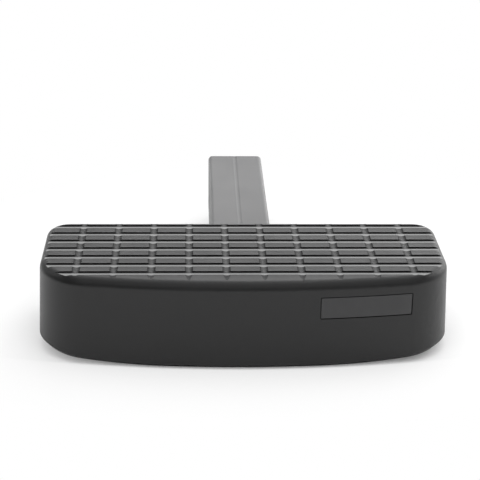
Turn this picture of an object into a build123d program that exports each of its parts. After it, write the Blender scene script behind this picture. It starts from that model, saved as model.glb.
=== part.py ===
from build123d import *
import os

# Hitch receiver step: an elastomer step cover moulded over a ribbed core that holds a square shank.
# Millimetres, +Z up. The bowed front of the step faces -Y and the shank points to +Y.
# The origin is the centre of the hitch pin bore, on the axis of the shank.

# Shank, for a two inch receiver
shank_side = 50.8
shank_corner = 3.8
shank_reach = 191.3
shank_end_round = 3.0
shank_wall = 6.0
shank_web = 5.0
shank_rib = 4.0
shank_bays = 5
seam_width = 3.8
seam_depth = 0.55
pin_bore = 16.5
pin_setback = 63.5
pin_block_wall = 8.0

# Outside of the step cover, along its lower edge before the edges are rounded
step_width = 327.2
step_depth = 128.2
step_height = 73.0
step_rise = 10.0
bow_radius = 815.0
front_corner = 42.0
back_corner = 19.0
draft_angle = 2.6
top_round = 7.2
bottom_chamfer = 4.4
flat_width = 120.0
upsweep_radius = 775.0

# Walls of the step cover
cover_wall = 8.5
cover_roof = 7.5
lip_width = 16.0
lip_thickness = 5.5
bond_gap = 0.1
shank_gap = 0.2

# Tread grooves: flat rows run from side to side, hollow columns from front to back with pointed tips
row_depth = 0.9
row_count = 7
row_pitch = 15.5
row_width = 6.6
first_row_setback = 21.1
column_depth = 0.85
column_count = 10
column_pitch = 29.0
column_width = 6.4
column_tip = 13.5
column_facets = 6

# Ribbed core, inside the cover
core_wall = 4.0
core_deck = 5.0
core_rib = 3.0
core_outer_bays = 4
core_row_bays = 4

# Bare plate in its recess on the front
label_width = 72.0
label_height = 18.5
label_end_gap = 34.8
label_drop = 21.5
label_corner = 1.2
label_recess = 0.7
label_thickness = 0.5
label_glue = 0.05
label_gap = 0.8

# Levels and places that follow from the sizes above
shank_top = shank_side / 2
step_top = shank_top + step_rise
step_bottom = step_top - step_height
shank_end = pin_setback
step_back = shank_end - shank_reach
step_front = step_back - step_depth
upsweep_run = (step_width - flat_width) / 2
upsweep_height = upsweep_radius - (upsweep_radius**2 - upsweep_run**2) ** 0.5
lip_top = step_bottom + upsweep_height + lip_thickness
roof_underside = step_top - cover_roof
core_inset = cover_wall + bond_gap
cell_front = step_front + core_inset + core_wall
cell_back = step_back - core_inset - core_wall
rib_pitch = (cell_back - cell_front) / core_row_bays
socket_end = cell_front + 2 * rib_pitch + core_rib / 2
label_centre_x = step_width / 2 - label_end_gap - label_width / 2


def sharp_plan(inset):
    """Outline of the step seen from above with sharp corners, drawn in by inset on every side."""
    half_width = step_width / 2 - inset
    slab = Pos(0, step_back - inset - step_depth) * Rectangle(2 * half_width, 2 * step_depth)
    bow = Pos(0, step_front + bow_radius) * Circle(bow_radius - inset)
    return slab & bow


def plan(inset):
    """The same outline with its corners rounded."""
    outline = sharp_plan(inset)
    corners = outline.vertices().sort_by(Axis.Y)
    outline = fillet(corners[:2], front_corner - inset)
    if back_corner > inset:
        corners = outline.vertices().sort_by(Axis.Y)
        outline = fillet(corners[-2:], back_corner - inset)
    return outline


def prism(outline, low, high):
    """Upright prism on an outline, from one level to another."""
    return extrude(Pos(0, 0, low) * outline, high - low)


def along_y(outline, start, end):
    """Prism on an outline drawn as seen from the front, from one place along Y to another."""
    return extrude(Plane.XZ.offset(-end) * outline, end - start)


def shank_section(gap):
    """Square section of the shank with rounded corners, or of an opening with a gap around it."""
    side = shank_side + 2 * gap
    return RectangleRounded(side, side, shank_corner + gap)


def walls(block):
    """Side faces of a block, from the front one to the back one."""
    return block.faces().filter_by(lambda face: abs(face.normal_at().Z) < 0.5).sort_by(Axis.Y)


def wall_edges(block):
    """Edges between the side faces of a block, from the front ones to the back ones."""
    return block.edges().filter_by(lambda edge: abs(edge.tangent_at(0.5).Z) > 0.5).sort_by(Axis.Y)


def drafted_block(inset):
    """Step outside with an upright front, leaning sides and back, and rounded corners, drawn in by inset."""
    block = prism(sharp_plan(inset), step_bottom, step_top)
    block = draft(walls(block)[1:], Plane.XY.offset(step_bottom), draft_angle)
    block = fillet(wall_edges(block)[:2], front_corner - inset)
    return fillet(wall_edges(block)[-2:], back_corner - inset)


def degrees_of_upsweep():
    """Turn of the underside from flat to the end of the step."""
    corner = Vector(0, upsweep_radius)
    end = Vector(upsweep_run, upsweep_radius - upsweep_height)
    return corner.get_angle(end)


def front_view():
    """Step seen from the front: flat underside in the middle that sweeps up towards both ends."""
    half_flat = flat_width / 2
    half_width = step_width / 2
    flat = Line((-half_flat, step_bottom), (half_flat, step_bottom))
    right = JernArc(flat @ 1, (1, 0), upsweep_radius, degrees_of_upsweep())
    left = JernArc(flat @ 0, (-1, 0), upsweep_radius, -degrees_of_upsweep())
    rim = Polyline(right @ 1, (half_width, step_top), (-half_width, step_top), left @ 1)
    return make_face([flat, right, rim, left])


def rod_radius(width, depth):
    """Radius of the round rod that cuts a groove of some width and depth."""
    return (width**2 / 4 + depth**2) / (2 * depth)


def column_profile():
    """Section of a column: a round hollow made of a few flats, and the space above it."""
    radius = rod_radius(column_width, column_depth)
    points = []
    for facet in range(column_facets + 1):
        x = column_width * (facet / column_facets - 0.5)
        points.append((x, radius - column_depth - (radius**2 - x**2) ** 0.5))
    points += [(column_width / 2, top_round), (-column_width / 2, top_round)]
    return make_face(Polyline(*points, close=True))


def column_tip_slope():
    """Angle at which the floor of a column rises to the tread in front of the first row."""
    return Vector(column_tip, 0).get_angle(Vector(column_tip, column_depth))


def tread_cutters():
    """Rows and columns that are cut into the top of the cover."""
    first_row = step_front + first_row_setback
    row_box = Box(step_width, row_width, 2 * row_depth)
    rows = [Pos(0, first_row + row * row_pitch, step_top) * row_box for row in range(row_count)]
    column = along_y(column_profile(), first_row, step_back)
    tip = Rot(-column_tip_slope(), 0, 0) * along_y(column_profile(), -2 * column_tip, 0)
    columns = []
    for number in range(column_count):
        x = (number - (column_count - 1) / 2) * column_pitch
        columns += [Pos(x, 0, step_top) * column, Pos(x, first_row, step_top) * tip]
    return rows + columns


def front_skin(depth, thickness, width, height, corner):
    """Piece of the bowed front, some depth under its surface, as wide and high as the label."""
    shape = Pos(label_centre_x, step_top - label_drop) * RectangleRounded(width, height, corner)
    window = along_y(shape, step_front - thickness, step_front + step_depth / 2)
    return window & drafted_block(depth) - drafted_block(depth + thickness)


def rear_slot():
    """Slot for the shank in the rear wall of the cover, open below so that it goes over the core."""
    section = shank_section(shank_gap)
    section += Pos(0, step_bottom / 2) * Rectangle(shank_side + 2 * shank_gap, -step_bottom)
    return along_y(section, step_back - 2 * lip_width, step_back)


def outer_edges(faces):
    """Edges around a group of faces that join one another."""
    return [edge for edge in faces.edges() if len([face for face in faces if edge in face.edges()]) == 1]


def make_step_cover():
    """Elastomer cover: rounded block, hollow for the core, tread on top and label recess in front."""
    block = drafted_block(0) & along_y(front_view(), step_front, step_back)
    top_face = block.faces().sort_by(Axis.Z)[-1]
    block = fillet(top_face.edges(), top_round)
    under_faces = block.faces().filter_by(lambda face: face.normal_at().Z < -0.5)
    block = chamfer(outer_edges(under_faces), bottom_chamfer)
    hollow = prism(plan(cover_wall), lip_top, roof_underside)
    window = prism(plan(lip_width), step_bottom, lip_top)
    recess = front_skin(0, label_recess, label_width, label_height, label_corner)
    return block - hollow - window - rear_slot() - recess - tread_cutters()


def core_cells():
    """Cells between the ribs of the core, open below."""
    cells = plan(core_inset + core_wall)
    width = cells.bounding_box().size.X
    for row in range(1, core_row_bays):
        cells -= Pos(0, cell_front + row * rib_pitch) * Rectangle(width, core_rib)
    spine_x = shank_side / 2 + bond_gap + core_wall / 2
    bay = (width / 2 - spine_x) / core_outer_bays
    ribs = [(0, core_rib), (spine_x, core_wall)]
    ribs += [(spine_x + bay * column, core_rib) for column in range(1, core_outer_bays)]
    for x, thickness in ribs:
        for side in (-1, 1):
            cells -= Pos(side * x, (step_front + step_back) / 2) * Rectangle(thickness, 2 * step_depth)
    return prism(cells, lip_top, roof_underside - core_deck)


def make_ribbed_core():
    """Rigid core that fills the cover, with a socket for the shank in its back."""
    block = prism(plan(core_inset), lip_top, roof_underside)
    socket = along_y(shank_section(bond_gap), socket_end, step_back)
    return block - core_cells() - socket


def shank_cells(start, end, bays):
    """Two rows of cells under the shank, either side of its middle web."""
    bay = (end - start + shank_rib) / bays
    cell_width = (shank_side - shank_web) / 2 - shank_wall
    cell = Rectangle(cell_width, bay - shank_rib)
    cells = []
    for number in range(bays):
        y = start + bay * number + (bay - shank_rib) / 2
        for side in (-1, 1):
            place = Pos(side * (shank_web + cell_width) / 2, y)
            cells.append(prism(place * cell, -shank_top, shank_top - shank_wall))
    return cells


def make_shank():
    """Square shank from the socket of the core to its free end, with the pin bore across it."""
    shank_start = socket_end + bond_gap
    bar = along_y(shank_section(0), shank_start, shank_end)
    end_face = bar.faces().sort_by(Axis.Y)[-1]
    bar = fillet(end_face.edges(), shank_end_round)
    seam_radius = rod_radius(seam_width, seam_depth)
    seam_rod = along_y(Circle(seam_radius), step_back + shank_gap, shank_end)
    seam = Pos(0, 0, shank_top - seam_depth + seam_radius) * seam_rod
    pin = Rot(0, 90, 0) * Cylinder(pin_bore / 2, 2 * shank_side)
    pin_block = pin_bore / 2 + pin_block_wall
    long_cells = shank_cells(shank_start + shank_wall, -pin_block, shank_bays)
    end_cells = shank_cells(pin_block, shank_end - shank_wall, 1)
    return bar - seam - pin - long_cells - end_cells


def make_front_label():
    """Bare plate that lies in the recess of the cover."""
    return front_skin(
        label_recess - label_glue - label_thickness,
        label_thickness,
        label_width - 2 * label_gap,
        label_height - 2 * label_gap,
        label_corner - label_gap,
    )


os.makedirs("parts", exist_ok=True)
export_step(make_step_cover(), "parts/step_cover.step")
export_step(make_ribbed_core(), "parts/ribbed_core.step")
export_step(make_shank(), "parts/shank.step")
export_step(make_front_label(), "parts/front_label.step")
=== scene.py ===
"""Hitch receiver step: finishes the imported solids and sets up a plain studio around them."""
import math

import bpy
from bpy.props import FloatProperty, FloatVectorProperty, PointerProperty
from mathutils import Matrix, Vector


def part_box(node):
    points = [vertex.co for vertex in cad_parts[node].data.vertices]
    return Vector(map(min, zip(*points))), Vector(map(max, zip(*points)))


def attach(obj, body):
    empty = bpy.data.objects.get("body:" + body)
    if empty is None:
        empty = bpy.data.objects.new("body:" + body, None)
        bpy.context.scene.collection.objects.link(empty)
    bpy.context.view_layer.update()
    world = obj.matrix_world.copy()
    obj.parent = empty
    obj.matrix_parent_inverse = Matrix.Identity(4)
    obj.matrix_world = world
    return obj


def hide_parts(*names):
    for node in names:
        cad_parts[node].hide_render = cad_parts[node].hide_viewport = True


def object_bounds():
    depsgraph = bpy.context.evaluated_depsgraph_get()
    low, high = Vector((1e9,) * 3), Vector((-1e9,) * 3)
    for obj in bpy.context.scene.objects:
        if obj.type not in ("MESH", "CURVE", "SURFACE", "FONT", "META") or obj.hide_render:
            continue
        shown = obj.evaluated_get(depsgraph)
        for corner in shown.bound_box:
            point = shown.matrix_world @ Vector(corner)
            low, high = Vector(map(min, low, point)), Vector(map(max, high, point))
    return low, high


bl_info = {
    "name": "Hitch Receiver Step",
    "version": (1, 0, 0),
    "blender": (4, 5, 0),
    "location": "3D View > Sidebar > Hitch Step",
    "description": "Finishes the hitch receiver step and sets up its studio",
    "category": "Object",
}

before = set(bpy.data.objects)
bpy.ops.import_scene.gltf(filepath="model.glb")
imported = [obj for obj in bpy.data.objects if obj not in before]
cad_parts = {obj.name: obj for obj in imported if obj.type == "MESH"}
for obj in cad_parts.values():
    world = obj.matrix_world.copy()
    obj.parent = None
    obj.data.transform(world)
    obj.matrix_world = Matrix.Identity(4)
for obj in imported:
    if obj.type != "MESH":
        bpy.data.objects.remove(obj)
CAD_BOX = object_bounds()
BODY = "root"
TREAD_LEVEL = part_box("step_cover")[1].z
STEP_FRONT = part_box("step_cover")[0].y
FLOOR_LEVEL = CAD_BOX[0][2]

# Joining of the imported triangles
MERGE_DISTANCE = 1e-6
FLAT_ANGLE = math.radians(0.3)

# Edges past these angles stay crisp, and large faces count this much in the normals of a piece
PLAIN_EDGE = math.radians(40)
COVER_EDGE = math.radians(52)
TREAD_EDGE = math.radians(19)
FACE_WEIGHT = 80

# Tread: thickness of its top layer, how far the short grooves reach to either side, and a hair's breadth
TREAD_LAYER = 0.002
COLUMN_REACH = 0.14
HAIR = 0.00001

# Parts of a normal between which a face of the tread comes to count as a land, a floor, a flank or a
# tip; flanks and tips get painted shade
LAND_UP = (0.3, 0.95)
FLOOR_UP = (0.9, 0.98)
FLANK_ASIDE = (0.05, 0.4)
TIP_BACK = (0.01, 0.03)

# Ends of a mask
RISE = (0.0, 1.0)
FALL = (1.0, 0.0)

# Grain and clouds of a moulded surface
FUZZ_DETAIL = 3.0
FUZZ_SHARE = 0.5
CLOUDS_PER_METRE = 28.0
CLOUD_DETAIL = 4.0
CLOUD_BAND = (0.3, 0.7)
TONE_SPREAD = (0.8, 1.2)

# Change of roughness in clouds and strength of the grain on each finish
COVER_CLOUD, COVER_BUMP = (-0.03, 0.03), 0.5
CORE_CLOUD, CORE_BUMP = (-0.03, 0.05), 0.05
LABEL_CLOUD, LABEL_BUMP = (-0.02, 0.04), 0.03

# Cover: wear across a land, grain on the walls and lands, grain left in a polished strip, and plain
# shine that painted shade lowers on flanks and tips
LAND_WEAR = 0.03
GRAIN_SHARE = (0.12, 0.4)
STRIP_GRAIN = 0.1
OPEN_SHINE = 0.5

# Narrow corners, where the shine falls off as painted shade
CREVICE_REACH = 0.002
CREVICE_RAYS = 8
CREVICE_BAND = (0.5, 0.8)
CREVICE_SHINE = (0.25, 1.0)

# Floor: gap under the step, and its white share for the camera, away from the step and ahead of its rim
FLOOR_GAP = 0.0002
FADE_CENTRE = (0.04, -0.19)
FADE_BAND = (0.15, 0.4)
FADE_SHARE = (0.18, 1.0)
RIM_STRIP = 0.005
RIM_SHARE = 0.55
AHEAD_STRIP = 0.08

# Surroundings that the step mirrors: strength from the front to the back, and from the left to the right
WHITE = (1.0, 1.0, 1.0, 1.0)
FRONT_TO_BACK, BACK_STRENGTH = (-0.5, 0.9), (0.2, 1.0)
LEFT_TO_RIGHT, RIGHT_STRENGTH = (-0.3, 0.3), (0.4, 1.1)

# Softboxes: name, place, width, height, setting of the brightness, and whether the step mirrors it
LIGHT_AIM = (0.0, -0.15, 0.0)
SOFTBOXES = [
    ("back_softbox", (0.45, 1.6, 0.85), 2.6, 1.0, "back_light", True),
    ("top_softbox", (0.0, 0.35, 1.8), 1.8, 1.4, "top_light", True),
    ("left_strip", (-0.75, 1.6, 0.12), 0.5, 0.28, "strip_light", True),
    ("right_strip", (0.75, 1.6, 0.12), 0.5, 0.28, "strip_light", True),
    ("right_softbox", (1.7, 0.9, 0.7), 1.2, 1.0, "side_light", True),
    ("left_softbox", (-1.6, 0.5, 1.1), 1.0, 1.0, "left_light", True),
    ("front_softbox", (0.0, -1.3, 1.45), 2.4, 1.3, "front_light", True),
    ("floor_softbox", (0.0, -1.1, 2.0), 3.0, 2.0, "floor_light", False),
]

# Camera: width of the sensor in millimetres, and how far it sees
SENSOR_WIDTH = 36.0
VIEW_DEPTH = 50.0


class HITCH_PG_cover(bpy.types.PropertyGroup):
    """Sizes and colours of the elastomer cover."""

    colour: FloatVectorProperty(
        name="Colour",
        description="Colour of the elastomer",
        subtype="COLOR",
        size=3,
        min=0.0,
        max=1.0,
        default=(0.006, 0.006, 0.0063),
    )
    wall_roughness: FloatProperty(
        name="Wall Roughness",
        description="Roughness of the front and the ends",
        subtype="FACTOR",
        default=0.42,
        min=0.0,
        max=1.0,
    )
    land_roughness: FloatProperty(
        name="Land Roughness",
        description="Roughness of the raised lands of the tread",
        subtype="FACTOR",
        default=0.56,
        min=0.0,
        max=1.0,
    )
    groove_roughness: FloatProperty(
        name="Groove Roughness",
        description="Roughness of the smooth groove floors",
        subtype="FACTOR",
        default=0.2,
        min=0.0,
        max=1.0,
    )
    # Painted shade: the flanks of the short grooves get this lower specular level, which darkens them.
    flank_shine: FloatProperty(
        name="Flank Shine",
        description="Specular level on the flanks of the short grooves",
        subtype="FACTOR",
        default=0.04,
        min=0.0,
        max=1.0,
    )
    # Painted shade: the pointed tips take this share of the flanks' lower specular level.
    tip_share: FloatProperty(
        name="Tip Share",
        description="How far the pointed tips of the short grooves are as dull as their flanks",
        subtype="FACTOR",
        default=0.78,
        min=0.0,
        max=1.0,
    )
    groove_depth: FloatProperty(
        name="Groove Depth",
        description="Depth of the long grooves below the lands",
        unit="LENGTH",
        default=0.0009,
        min=0.0,
    )
    groove_pitch: FloatProperty(
        name="Groove Pitch",
        description="Distance from one long groove to the next",
        unit="LENGTH",
        default=0.0155,
        min=0.001,
    )
    groove_start: FloatProperty(
        name="Groove Start",
        description="Distance from the front of the step to the near edge of the first long groove",
        unit="LENGTH",
        default=0.0178,
        min=0.0,
    )
    polished_strip: FloatProperty(
        name="Polished Strip",
        description="Width of the polished strip along the near edge of each long groove",
        unit="LENGTH",
        default=0.0045,
        min=0.0,
    )
    grain: FloatProperty(
        name="Grain",
        description="Size of the moulded grain",
        unit="LENGTH",
        default=0.0007,
        min=0.0001,
    )


class HITCH_PG_core(bpy.types.PropertyGroup):
    """Colour and gloss of the rigid core and its shank."""

    colour: FloatVectorProperty(
        name="Colour",
        description="Colour of the glass-filled moulding",
        subtype="COLOR",
        size=3,
        min=0.0,
        max=1.0,
        default=(0.05, 0.05, 0.0515),
    )
    roughness: FloatProperty(
        name="Roughness",
        description="Roughness of the moulded skin",
        subtype="FACTOR",
        default=0.42,
        min=0.0,
        max=1.0,
    )
    grain: FloatProperty(
        name="Grain",
        description="Size of the grain in the skin",
        unit="LENGTH",
        default=0.0009,
        min=0.0001,
    )


class HITCH_PG_label(bpy.types.PropertyGroup):
    """Colour and gloss of the bare plate."""

    colour: FloatVectorProperty(
        name="Colour",
        description="Colour of the bare plate",
        subtype="COLOR",
        size=3,
        min=0.0,
        max=1.0,
        default=(0.03, 0.03, 0.031),
    )
    roughness: FloatProperty(
        name="Roughness",
        description="Roughness of the bare plate",
        subtype="FACTOR",
        default=0.35,
        min=0.0,
        max=1.0,
    )
    grain: FloatProperty(
        name="Grain",
        description="Size of the grain in the plate",
        unit="LENGTH",
        default=0.0004,
        min=0.0001,
    )


class HITCH_PG_studio(bpy.types.PropertyGroup):
    """Camera, lights and floor."""

    camera_place: FloatVectorProperty(
        name="Camera Place",
        description="Where the camera stands",
        subtype="TRANSLATION",
        unit="LENGTH",
        size=3,
        default=(-0.03994, -1.1782, 0.46445),
    )
    camera_pitch: FloatProperty(
        name="Camera Pitch",
        description="How far the camera looks down",
        subtype="ANGLE",
        default=math.radians(23.052),
    )
    camera_yaw: FloatProperty(
        name="Camera Yaw",
        description="How far the camera turns to the left of straight on",
        subtype="ANGLE",
        default=math.radians(-2.1413),
    )
    camera_roll: FloatProperty(
        name="Camera Roll",
        description="How far the camera tips to the left",
        subtype="ANGLE",
        default=math.radians(0.8101),
    )
    lens: FloatProperty(
        name="Lens",
        description="Focal length for a 36 mm sensor",
        unit="CAMERA",
        default=101.25,
        min=1.0,
    )
    floor_size: FloatProperty(
        name="Floor Size",
        description="Side of the square floor",
        unit="LENGTH",
        default=8.0,
        min=1.0,
    )
    floor_colour: FloatVectorProperty(
        name="Floor Colour",
        description="Colour of the pale floor",
        subtype="COLOR",
        size=3,
        min=0.0,
        max=1.0,
        default=(0.88, 0.88, 0.88),
    )
    bow_radius: FloatProperty(
        name="Bow Radius",
        description="Radius of the bowed front, for the floor in front of it",
        unit="LENGTH",
        default=0.815,
        min=0.1,
    )
    rim_setback: FloatProperty(
        name="Rim Setback",
        description="Distance from the front of the step to its contact with the floor",
        unit="LENGTH",
        default=0.0044,
        min=0.0,
    )
    back_light: FloatProperty(
        name="Back Light",
        description="Brightness of the softbox behind the step",
        default=2.15,
        min=0.0,
    )
    strip_light: FloatProperty(
        name="Strip Light",
        description="Brightness of the low strips behind both halves of the tread",
        default=4.2,
        min=0.0,
    )
    top_light: FloatProperty(
        name="Top Light",
        description="Brightness of the softbox over the step",
        default=1.0,
        min=0.0,
    )
    floor_light: FloatProperty(
        name="Floor Light",
        description="Brightness of the diffuse light that lifts the floor",
        default=1.6,
        min=0.0,
    )
    side_light: FloatProperty(
        name="Side Light",
        description="Brightness of the softbox behind the right end",
        default=3.0,
        min=0.0,
    )
    left_light: FloatProperty(
        name="Left Light",
        description="Brightness of the softbox over the left end",
        default=1.2,
        min=0.0,
    )
    front_light: FloatProperty(
        name="Front Light",
        description="Brightness of the dim softbox over the camera",
        default=0.65,
        min=0.0,
    )


def select_only(piece):
    """Makes one object the only selected one, and the active one."""
    bpy.ops.object.select_all(action="DESELECT")
    piece.select_set(True)
    bpy.context.view_layer.objects.active = piece


def joined_copy(node, name):
    """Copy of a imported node, with its loose triangles joined into one mesh."""
    piece = bpy.data.objects.new(name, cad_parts[node].data.copy())
    bpy.context.scene.collection.objects.link(piece)
    piece.data.name = name
    piece.data.materials.clear()
    select_only(piece)
    bpy.ops.mesh.customdata_custom_splitnormals_clear()
    bpy.ops.object.mode_set(mode="EDIT")
    bpy.ops.mesh.select_all(action="SELECT")
    bpy.ops.mesh.remove_doubles(threshold=MERGE_DISTANCE)
    bpy.ops.mesh.dissolve_limited(angle_limit=FLAT_ANGLE)
    bpy.ops.object.mode_set(mode="OBJECT")
    return piece


def first_groove(look):
    """Place of the near edge of the first long groove."""
    return STEP_FRONT + look.groove_start


def crisp_tread(cover):
    """Keeps the rims of the shallow grooves in the tread crisp."""
    select_only(cover)
    bpy.ops.object.mode_set(mode="EDIT")
    bpy.ops.mesh.select_all(action="DESELECT")
    bpy.ops.mesh.edges_select_sharp(sharpness=TREAD_EDGE)
    bpy.ops.object.mode_set(mode="OBJECT")
    vertices = cover.data.vertices
    for edge in cover.data.edges:
        lowest = min(vertices[end].co.z for end in edge.vertices)
        if edge.select and lowest > TREAD_LEVEL - TREAD_LAYER:
            edge.use_edge_sharp = True


def crisp_tips(cover, groove):
    """Keeps the rims of the pointed tips crisp, which run from front to back ahead of a groove."""
    vertices = cover.data.vertices
    for edge in cover.data.edges:
        one, two = (vertices[end].co for end in edge.vertices)
        on_land = min(one.z, two.z) > TREAD_LEVEL - HAIR
        ahead = max(one.y, two.y) < groove + 10 * HAIR and abs(one.x) < COLUMN_REACH
        if on_land and ahead and abs(two.y - one.y) > abs(two.x - one.x):
            edge.use_edge_sharp = True


def soften(piece, sharp_angle):
    """Smooth shading that keeps edges past an angle crisp."""
    select_only(piece)
    bpy.ops.object.shade_smooth_by_angle(angle=sharp_angle)


def flatten(piece):
    """Lets the large faces of a smooth piece set its normals, so that flat faces look flat."""
    select_only(piece)
    bpy.ops.object.modifier_add(type="WEIGHTED_NORMAL")
    weighted = piece.modifiers[-1]
    weighted.keep_sharp = True
    weighted.weight = FACE_WEIGHT
    bpy.ops.object.modifier_apply(modifier=weighted.name)


def hand_over(piece, node, material):
    """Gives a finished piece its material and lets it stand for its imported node."""
    piece.data.materials.append(material)
    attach(piece, BODY)
    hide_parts(node)


def finish_plain(node, name, material):
    """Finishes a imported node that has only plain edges."""
    piece = joined_copy(node, name)
    soften(piece, PLAIN_EDGE)
    flatten(piece)
    hand_over(piece, node, material)


def add_node(tree, kind, place, **values):
    """Adds a node to a tree, at a place in the editor, and sets its properties."""
    node = tree.nodes.new(kind)
    node.location = place
    for name, value in values.items():
        setattr(node, name, value)
    return node


def new_material(name):
    """Empty node material with a Principled shader."""
    material = bpy.data.materials.new(name)
    material.use_nodes = True
    tree = material.node_tree
    shader = tree.nodes["Principled BSDF"]
    return material, tree, shader


def grain_group():
    """Node group: fine pits and bumps of a mould surface, and a cloudy change of tone."""
    group = bpy.data.node_groups.get("Moulded Grain")
    if group:
        return group
    group = bpy.data.node_groups.new("Moulded Grain", "ShaderNodeTree")
    face = group.interface
    face.new_socket("Vector", in_out="INPUT", socket_type="NodeSocketVector")
    face.new_socket("Cells per Metre", in_out="INPUT", socket_type="NodeSocketFloat")
    face.new_socket("Height", in_out="OUTPUT", socket_type="NodeSocketFloat")
    face.new_socket("Cloud", in_out="OUTPUT", socket_type="NodeSocketFloat")
    inputs = add_node(group, "NodeGroupInput", (-600, 0))
    outputs = add_node(group, "NodeGroupOutput", (500, 0))
    pits = add_node(group, "ShaderNodeTexVoronoi", (-300, 150), feature="SMOOTH_F1")
    fuzz = add_node(group, "ShaderNodeTexNoise", (-300, -120))
    fuzz.inputs["Detail"].default_value = FUZZ_DETAIL
    cloud = add_node(group, "ShaderNodeTexNoise", (-300, -380))
    cloud.inputs["Scale"].default_value = CLOUDS_PER_METRE
    cloud.inputs["Detail"].default_value = CLOUD_DETAIL
    mix = add_node(group, "ShaderNodeMath", (100, 60), operation="MULTIPLY_ADD")
    mix.inputs[1].default_value = FUZZ_SHARE
    link = group.links.new
    link(inputs.outputs["Vector"], pits.inputs["Vector"])
    link(inputs.outputs["Cells per Metre"], pits.inputs["Scale"])
    link(inputs.outputs["Vector"], fuzz.inputs["Vector"])
    link(inputs.outputs["Cells per Metre"], fuzz.inputs["Scale"])
    link(inputs.outputs["Vector"], cloud.inputs["Vector"])
    link(fuzz.outputs["Fac"], mix.inputs[0])
    link(pits.outputs["Distance"], mix.inputs[2])
    link(mix.outputs["Value"], outputs.inputs["Height"])
    link(cloud.outputs["Fac"], outputs.inputs["Cloud"])
    return group


def add_grain(tree, where, size, place):
    """Grain group on Object coordinates, for a grain of a given size."""
    grain = add_node(tree, "ShaderNodeGroup", place, node_tree=grain_group())
    grain.inputs["Cells per Metre"].default_value = 1.0 / size
    tree.links.new(where.outputs["Object"], grain.inputs["Vector"])
    return grain


def add_ramp(tree, source, limits, results, place):
    """Straight ramp of a value, from one result to another between two limits."""
    ramp = add_node(tree, "ShaderNodeMapRange", place)
    sockets = ("From Min", "From Max", "To Min", "To Max")
    for socket, value in zip(sockets, (*limits, *results)):
        ramp.inputs[socket].default_value = value
    tree.links.new(source, ramp.inputs["Value"])
    return ramp.outputs["Result"]


def add_math(tree, operation, first, second, place):
    """Math node on two sockets or numbers."""
    node = add_node(tree, "ShaderNodeMath", place, operation=operation)
    for slot, value in zip(node.inputs, (first, second)):
        if isinstance(value, (int, float)):
            slot.default_value = value
        else:
            tree.links.new(value, slot)
    return node.outputs["Value"]


def add_tone(tree, shader, colour, cloud, place):
    """Base colour that is a little darker and lighter in clouds."""
    ramp = add_node(tree, "ShaderNodeValToRGB", place)
    for stop, position, tone in zip(ramp.color_ramp.elements, CLOUD_BAND, TONE_SPREAD):
        stop.position = position
        stop.color = (*[tone * part for part in colour], 1.0)
    tree.links.new(cloud, ramp.inputs["Fac"])
    tree.links.new(ramp.outputs["Color"], shader.inputs["Base Color"])


def add_bump(tree, shader, height, strength, distance, place):
    """Bump of a height on the shader's normal."""
    bump = add_node(tree, "ShaderNodeBump", place)
    bump.inputs["Strength"].default_value = strength
    bump.inputs["Distance"].default_value = distance
    tree.links.new(height, bump.inputs["Height"])
    tree.links.new(bump.outputs["Normal"], shader.inputs["Normal"])


def add_distance(tree, where, centre, place):
    """Distance from a point, on Object coordinates."""
    distance = add_node(tree, "ShaderNodeVectorMath", place, operation="DISTANCE")
    distance.inputs[1].default_value = centre
    tree.links.new(where.outputs["Object"], distance.inputs[0])
    return distance.outputs["Value"]


def add_corner_shade(tree, place):
    """Painted shade: a shine factor from ambient occlusion that falls off in narrow corners, from 1 on
    open faces.
    """
    nook = add_node(tree, "ShaderNodeAmbientOcclusion", place, samples=CREVICE_RAYS)
    nook.inputs["Distance"].default_value = CREVICE_REACH
    return add_ramp(tree, nook.outputs["AO"], CREVICE_BAND, CREVICE_SHINE, (place[0] + 200, place[1]))


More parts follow.
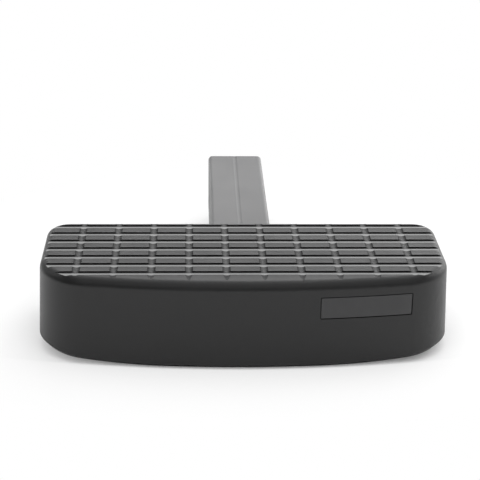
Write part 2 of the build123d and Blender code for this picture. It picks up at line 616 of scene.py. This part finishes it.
def tread_masks(tree, look, place, normal):
    """Masks of the lands, polished strips, and the flanks and tips that get painted shade, and how far
    back on a land a place is.
    """
    across, along, level = (place.outputs[axis] for axis in "XYZ")
    aside, backward, upward = (normal.outputs[axis] for axis in "XYZ")

    layer = (TREAD_LEVEL - 2 * TREAD_LAYER, TREAD_LEVEL - TREAD_LAYER)
    high = add_ramp(tree, level, layer, RISE, (-700, 1000))
    land = add_ramp(tree, upward, LAND_UP, RISE, (-700, 0))
    land = add_math(tree, "MULTIPLY", land, high, (-350, 200))

    depth = TREAD_LEVEL - look.groove_depth
    low = add_ramp(tree, level, (depth + 5 * HAIR, depth + 10 * HAIR), FALL, (-700, 500))
    above = add_ramp(tree, level, (depth - 100 * HAIR, depth - 50 * HAIR), RISE, (-700, 750))
    floor = add_math(tree, "MULTIPLY", low, above, (-500, 600))
    flat = add_ramp(tree, upward, FLOOR_UP, RISE, (-700, 250))
    floor = add_math(tree, "MULTIPLY", floor, flat, (-350, 500))

    groove = first_groove(look)
    behind = add_math(tree, "SUBTRACT", along, groove, (-900, 1250))
    behind = add_math(tree, "FLOORED_MODULO", behind, look.groove_pitch, (-700, 1250))
    strip_edge = (look.polished_strip - 20 * HAIR, look.polished_strip + 20 * HAIR)
    strip = add_ramp(tree, behind, strip_edge, FALL, (-500, 1250))
    strip = add_math(tree, "MULTIPLY", floor, strip, (-250, 650))
    back = add_ramp(tree, behind, (look.groove_pitch / 2, look.groove_pitch), RISE, (-500, 1500))

    sideways = add_math(tree, "ABSOLUTE", aside, 0.0, (-700, -250))
    flank = add_ramp(tree, sideways, FLANK_ASIDE, RISE, (-500, -250))
    offset = add_math(tree, "ABSOLUTE", across, 0.0, (-700, -500))
    reach_edge = (COLUMN_REACH - TREAD_LAYER, COLUMN_REACH + TREAD_LAYER)
    inner = add_ramp(tree, offset, reach_edge, FALL, (-500, -500))
    flank = add_math(tree, "MULTIPLY", flank, inner, (-350, -300))
    tip = add_ramp(tree, backward, TIP_BACK, (0.0, look.tip_share), (-700, -750))
    ahead = add_ramp(tree, along, (groove - 10 * HAIR, groove), FALL, (-500, -750))
    tip = add_math(tree, "MULTIPLY", tip, ahead, (-350, -600))
    flank = add_math(tree, "MAXIMUM", flank, tip, (-300, -400))
    flank = add_math(tree, "MULTIPLY", flank, land, (-250, -200))
    return land, strip, flank, back


def cover_material(look):
    """Black elastomer: satin walls, matt lands, polished strips in the grooves, and painted shade on
    groove flanks, tips and narrow corners.
    """
    material, tree, shader = new_material("cover elastomer")
    where = add_node(tree, "ShaderNodeTexCoord", (-1100, 0))
    grain = add_grain(tree, where, look.grain, (-900, 0))
    place = add_node(tree, "ShaderNodeSeparateXYZ", (-900, 400))
    normal = add_node(tree, "ShaderNodeSeparateXYZ", (-900, 250))
    tree.links.new(where.outputs["Object"], place.inputs["Vector"])
    tree.links.new(where.outputs["Normal"], normal.inputs["Vector"])
    land, strip, flank, back = tread_masks(tree, look, place, normal)

    wear = (look.land_roughness - LAND_WEAR, look.land_roughness + LAND_WEAR)
    worn = add_ramp(tree, back, RISE, wear, (-300, 1000))
    change = add_math(tree, "SUBTRACT", worn, look.wall_roughness, (-150, 800))
    rough = add_math(tree, "MULTIPLY", land, change, (-150, 200))
    rough = add_math(tree, "ADD", rough, look.wall_roughness, (0, 200))
    polish = look.groove_roughness - look.land_roughness
    smooth = add_math(tree, "MULTIPLY", strip, polish, (-150, 450))
    rough = add_math(tree, "ADD", rough, smooth, (50, 300))
    cloud = add_ramp(tree, grain.outputs["Cloud"], CLOUD_BAND, COVER_CLOUD, (-350, -750))
    rough = add_math(tree, "ADD", rough, cloud, (200, 250))
    tree.links.new(rough, shader.inputs["Roughness"])

    # Painted shade: ambient occlusion lowers the shine in narrow corners.
    corner_shade = add_corner_shade(tree, (-700, -1000))
    # Painted shade: the shine is lowered on the flanks and pointed tips of the short grooves.
    dull = add_ramp(tree, flank, RISE, (OPEN_SHINE, look.flank_shine), (-150, -250))
    shine = add_math(tree, "MULTIPLY", dull, corner_shade, (50, -300))
    tree.links.new(shine, shader.inputs["Specular IOR Level"])

    add_tone(tree, shader, look.colour, grain.outputs["Cloud"], (-150, -550))
    amount = add_ramp(tree, land, RISE, GRAIN_SHARE, (-350, -50))
    bare = add_ramp(tree, strip, RISE, (1.0, STRIP_GRAIN), (-350, -900))
    amount = add_math(tree, "MULTIPLY", amount, bare, (-150, -100))
    height = add_math(tree, "MULTIPLY", grain.outputs["Height"], amount, (50, -100))
    add_bump(tree, shader, height, COVER_BUMP, look.grain, (200, -100))
    return material


def moulded_material(name, look, cloud_change, bump):
    """Dark moulding with a fine grain, whose gloss and tone change a little in clouds."""
    material, tree, shader = new_material(name)
    where = add_node(tree, "ShaderNodeTexCoord", (-1100, 0))
    grain = add_grain(tree, where, look.grain, (-900, 0))
    roughness = [look.roughness + change for change in cloud_change]
    rough = add_ramp(tree, grain.outputs["Cloud"], CLOUD_BAND, roughness, (-350, 100))
    tree.links.new(rough, shader.inputs["Roughness"])
    add_tone(tree, shader, look.colour, grain.outputs["Cloud"], (-350, -350))
    add_bump(tree, shader, grain.outputs["Height"], bump, look.grain, (-150, -100))
    return material


def core_material(look):
    """Black glass-filled moulding with a satin skin."""
    return moulded_material("core moulding", look, CORE_CLOUD, CORE_BUMP)


def label_material(look):
    """Bare dark plate with a soft sheen."""
    return moulded_material("bare plate", look, LABEL_CLOUD, LABEL_BUMP)


def floor_material(studio):
    """Pale floor that keeps soft shadows and fades to white for the camera."""
    material, tree, shader = new_material("pale floor")
    shader.inputs["Base Color"].default_value = (*studio.floor_colour, 1.0)
    shader.inputs["Roughness"].default_value = 1.0
    shader.inputs["Specular IOR Level"].default_value = 0.0
    where = add_node(tree, "ShaderNodeTexCoord", (-800, 500))
    away = add_distance(tree, where, (*FADE_CENTRE, FLOOR_LEVEL), (-600, 500))
    far = add_ramp(tree, away, FADE_BAND, FADE_SHARE, (-400, 500))

    bow_centre = (0.0, STEP_FRONT + studio.bow_radius, FLOOR_LEVEL)
    bow = add_distance(tree, where, bow_centre, (-600, 800))
    contact = studio.bow_radius - studio.rim_setback
    rim = (contact, contact + RIM_STRIP)
    near = add_ramp(tree, bow, rim, (0.0, RIM_SHARE), (-400, 800))
    open_floor = (contact + RIM_STRIP, contact + AHEAD_STRIP)
    ahead = add_ramp(tree, bow, open_floor, (0.0, 1.0 - RIM_SHARE), (-400, 1050))
    ahead = add_math(tree, "ADD", near, ahead, (-250, 900))
    far = add_math(tree, "MAXIMUM", far, ahead, (-250, 650))

    path = add_node(tree, "ShaderNodeLightPath", (-400, 250))
    share = add_math(tree, "MULTIPLY", path.outputs["Is Camera Ray"], far, (-100, 300))
    glow = add_node(tree, "ShaderNodeEmission", (0, -300))
    mix = add_node(tree, "ShaderNodeMixShader", (300, 0))
    tree.links.new(share, mix.inputs["Fac"])
    tree.links.new(shader.outputs["BSDF"], mix.inputs[1])
    tree.links.new(glow.outputs["Emission"], mix.inputs[2])
    tree.links.new(mix.outputs["Shader"], tree.nodes["Material Output"].inputs["Surface"])
    return material


def add_floor(studio):
    """Plain square floor under the step."""
    bpy.ops.object.select_all(action="DESELECT")
    bpy.ops.mesh.primitive_plane_add(size=studio.floor_size, location=(0, 0, FLOOR_LEVEL - FLOOR_GAP))
    floor = bpy.context.object
    floor.name = "floor"
    bpy.ops.object.transform_apply(location=True, rotation=True, scale=True)
    floor.data.materials.append(floor_material(studio))


def add_softbox(name, place, width, height, brightness, mirrored):
    """Rectangular lamp that faces the step, with a given brightness of its surface."""
    lamp = bpy.data.lights.new(name, "AREA")
    lamp.shape = "RECTANGLE"
    lamp.size = width
    lamp.size_y = height
    lamp.energy = brightness * math.pi * width * height
    softbox = bpy.data.objects.new(name, lamp)
    bpy.context.scene.collection.objects.link(softbox)
    turn = (Vector(LIGHT_AIM) - Vector(place)).to_track_quat("-Z", "Y")
    softbox.matrix_world = Matrix.Translation(place) @ turn.to_matrix().to_4x4()
    softbox.visible_glossy = mirrored


def add_world(context):
    """White surroundings for the camera, and for the step darker in front than behind."""
    world = bpy.data.worlds.new("studio")
    context.scene.world = world
    world.use_nodes = True
    tree = world.node_tree
    where = add_node(tree, "ShaderNodeTexCoord", (-900, 0))
    split = add_node(tree, "ShaderNodeSeparateXYZ", (-700, 0))
    tree.links.new(where.outputs["Generated"], split.inputs["Vector"])
    behind = add_ramp(tree, split.outputs["Y"], FRONT_TO_BACK, BACK_STRENGTH, (-500, 0))
    beside = add_ramp(tree, split.outputs["X"], LEFT_TO_RIGHT, RIGHT_STRENGTH, (-500, -250))
    strength = add_math(tree, "MULTIPLY", behind, beside, (-300, 0))
    room = tree.nodes["Background"]
    room.inputs["Color"].default_value = WHITE
    tree.links.new(strength, room.inputs["Strength"])
    backdrop = add_node(tree, "ShaderNodeBackground", (-200, -200))
    backdrop.inputs["Color"].default_value = WHITE
    path = add_node(tree, "ShaderNodeLightPath", (-200, 300))
    mix = add_node(tree, "ShaderNodeMixShader", (100, 0))
    tree.links.new(path.outputs["Is Camera Ray"], mix.inputs["Fac"])
    tree.links.new(room.outputs["Background"], mix.inputs[1])
    tree.links.new(backdrop.outputs["Background"], mix.inputs[2])
    tree.links.new(mix.outputs["Shader"], tree.nodes["World Output"].inputs["Surface"])


def add_camera(context, studio):
    """Camera at the photograph's angle."""
    data = bpy.data.cameras.new("camera")
    data.lens = studio.lens
    data.sensor_width = SENSOR_WIDTH
    data.clip_end = VIEW_DEPTH
    camera = bpy.data.objects.new("camera", data)
    context.scene.collection.objects.link(camera)
    turn = Matrix.Rotation(studio.camera_yaw, 4, "Z")
    tilt = Matrix.Rotation(math.pi / 2 - studio.camera_pitch, 4, "X")
    roll = Matrix.Rotation(studio.camera_roll, 4, "Z")
    camera.matrix_world = Matrix.Translation(studio.camera_place) @ turn @ tilt @ roll
    context.scene.camera = camera


class HITCH_OT_cover(bpy.types.Operator):
    """Finish the elastomer cover with its tread"""

    bl_idname = "hitch_step.cover"
    bl_label = "Step Cover"

    def execute(self, context):
        look = context.scene.hitch_cover
        cover = joined_copy("step_cover", "tread_cover")
        soften(cover, COVER_EDGE)
        crisp_tread(cover)
        crisp_tips(cover, first_groove(look))
        flatten(cover)
        hand_over(cover, "step_cover", cover_material(look))
        return {"FINISHED"}


class HITCH_OT_core(bpy.types.Operator):
    """Finish the ribbed core under the cover"""

    bl_idname = "hitch_step.core"
    bl_label = "Ribbed Core"

    def execute(self, context):
        material = core_material(context.scene.hitch_core)
        finish_plain("ribbed_core", "core_ribs", material)
        return {"FINISHED"}


class HITCH_OT_shank(bpy.types.Operator):
    """Finish the square shank with the pin bore"""

    bl_idname = "hitch_step.shank"
    bl_label = "Receiver Shank"

    def execute(self, context):
        material = core_material(context.scene.hitch_core)
        finish_plain("shank", "receiver_shank", material)
        return {"FINISHED"}


class HITCH_OT_label(bpy.types.Operator):
    """Finish the bare plate on the front"""

    bl_idname = "hitch_step.label"
    bl_label = "Front Plate"

    def execute(self, context):
        material = label_material(context.scene.hitch_label)
        finish_plain("front_label", "front_plate", material)
        return {"FINISHED"}


class HITCH_OT_stage(bpy.types.Operator):
    """Add the floor, the lights and the camera"""

    bl_idname = "hitch_step.stage"
    bl_label = "Studio"

    def execute(self, context):
        studio = context.scene.hitch_studio
        context.scene.view_settings.view_transform = "Standard"
        add_floor(studio)
        add_world(context)
        for name, place, width, height, setting, mirrored in SOFTBOXES:
            add_softbox(name, place, width, height, getattr(studio, setting), mirrored)
        add_camera(context, studio)
        return {"FINISHED"}


class HITCH_PT_step(bpy.types.Panel):
    """Lists the pieces of the hitch step"""

    bl_idname = "HITCH_PT_step"
    bl_label = "Hitch Step"
    bl_space_type = "VIEW_3D"
    bl_region_type = "UI"
    bl_category = "Hitch Step"

    def draw(self, context):
        for settings, operators in GROUPS.items():
            box = self.layout.box()
            look = getattr(context.scene, settings)
            for name in look.bl_rna.properties.keys():
                if name not in ("rna_type", "name"):
                    box.prop(look, name)
            for operator in operators:
                box.operator(operator.bl_idname)


GROUPS = {
    "hitch_cover": [HITCH_OT_cover],
    "hitch_core": [HITCH_OT_core, HITCH_OT_shank],
    "hitch_label": [HITCH_OT_label],
    "hitch_studio": [HITCH_OT_stage],
}
SETTINGS = {
    "hitch_cover": HITCH_PG_cover,
    "hitch_core": HITCH_PG_core,
    "hitch_label": HITCH_PG_label,
    "hitch_studio": HITCH_PG_studio,
}
OPERATORS = [operator for group in GROUPS.values() for operator in group]
CLASSES = [*SETTINGS.values(), *OPERATORS, HITCH_PT_step]


def register():
    """Makes the settings, operators and panel known to Blender."""
    for part in CLASSES:
        bpy.utils.register_class(part)
    for name, settings in SETTINGS.items():
        setattr(bpy.types.Scene, name, PointerProperty(type=settings))


def unregister():
    """Takes the settings, operators and panel away again."""
    for name in SETTINGS:
        delattr(bpy.types.Scene, name)
    for part in reversed(CLASSES):
        bpy.utils.unregister_class(part)


def main():
    """Builds every piece and the studio."""
    register()
    bpy.ops.hitch_step.cover()
    bpy.ops.hitch_step.core()
    bpy.ops.hitch_step.shank()
    bpy.ops.hitch_step.label()
    bpy.ops.hitch_step.stage()


if __name__ == "__main__":
    main()
